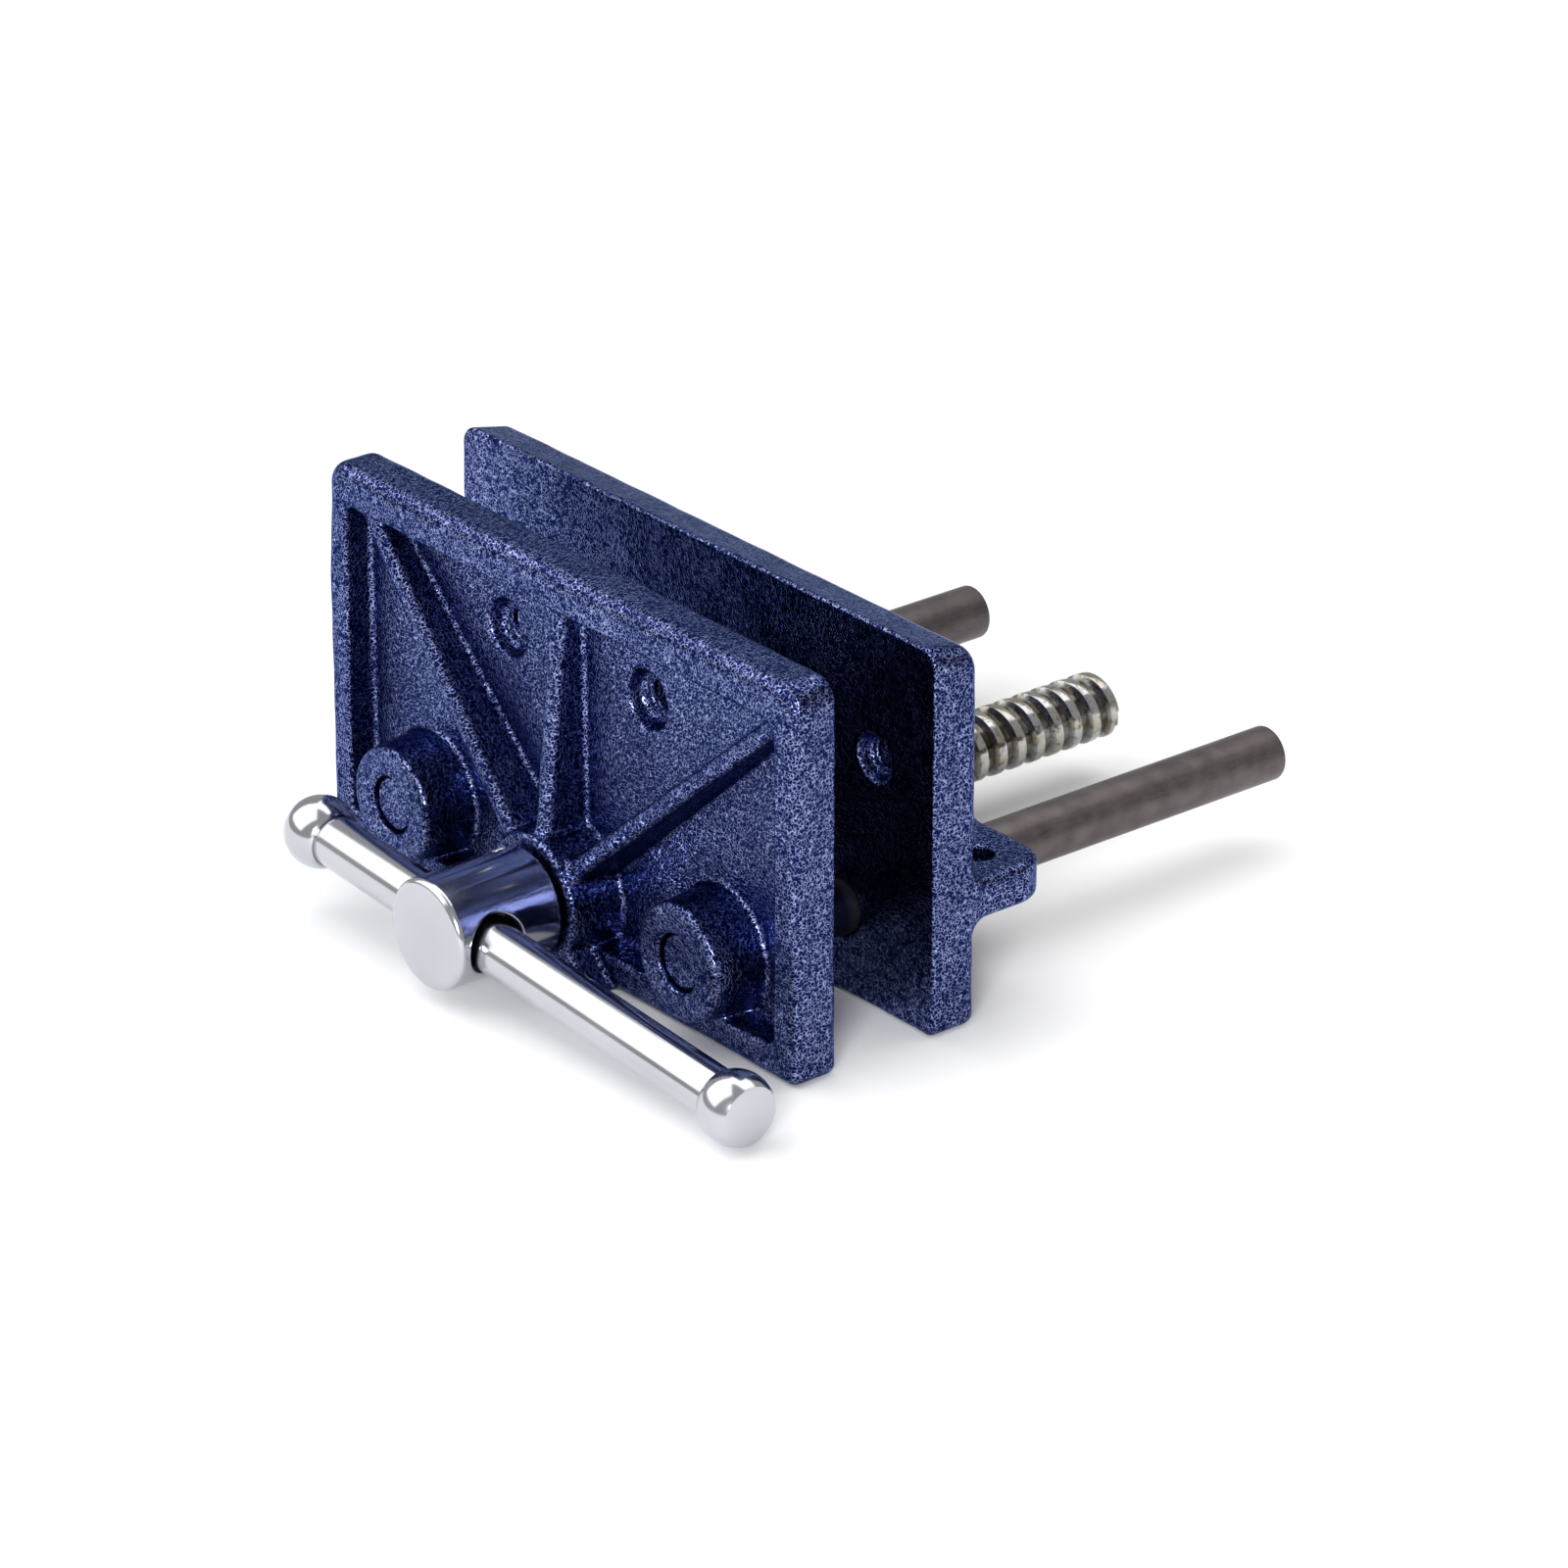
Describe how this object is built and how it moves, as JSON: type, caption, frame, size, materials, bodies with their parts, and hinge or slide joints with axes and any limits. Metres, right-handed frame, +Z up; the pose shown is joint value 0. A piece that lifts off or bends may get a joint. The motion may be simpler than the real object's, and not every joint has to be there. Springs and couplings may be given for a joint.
{
  "type": "bench vise",
  "caption": "Woodworker's bench vise with cast jaws on guide rods, a lead screw turned by a sliding handle, and a rear flange that screws under a bench top.",
  "frame": {"origin": "top of the rear jaw's mounting flange, in mid-width, on the line through its two bench screw holes", "axes": "+Z up out of the flange's top face, +Y from the front jaw towards the free ends of the rods and screw, +X along the jaws, to the right seen from the handle"},
  "size_m": [0.1823, 0.1984, 0.0923],
  "materials": {
    "blue_enamel": "dark blue hammered enamel on cast iron",
    "chrome": "bright chrome plating",
    "drawn_steel": "dark drawn steel bar, lightly oiled",
    "zinc_steel": "yellow-white zinc plated steel",
    "bronze": "machined bronze",
    "black_steel": "black oxide steel"
  },
  "bodies": {
    "rear": {"rear_jaw": "blue_enamel", "lead_nut": "bronze", "nut_set_screw": "black_steel"},
    "front": {"front_jaw": "blue_enamel", "guide_rod_left": "drawn_steel", "guide_rod_right": "drawn_steel", "rod_pin_left": "black_steel", "rod_pin_right": "black_steel", "thrust_washer": "zinc_steel"},
    "screw": {"lead_screw": "zinc_steel", "screw_head": "chrome", "head_pin": "black_steel", "retaining_collar": "zinc_steel", "collar_pin": "black_steel"},
    "handle": {"handle_bar": "chrome", "handle_knob_left": "chrome", "handle_knob_right": "chrome"}
  },
  "joints": [
    {"name": "jaw_slide", "type": "slide", "parent": "rear", "child": "front", "axis": [0, 1, 0], "range_m": [-0.0884, 0.0253]},
    {"name": "screw_spin", "type": "hinge", "parent": "front", "child": "screw", "pos_m": [0, -0.0859, -0.017], "axis": [0, 1, 0], "range_deg": [-5682, 1626]},
    {"name": "handle_slide", "type": "slide", "parent": "screw", "child": "handle", "axis": [0.9977, 0, -0.068], "range_m": [-0.0759, 0.0331]}
  ],
  "couplings": [
    {"joint": "jaw_slide", "follows": "screw_spin", "m_per_rad": 0.00089127}
  ]
}
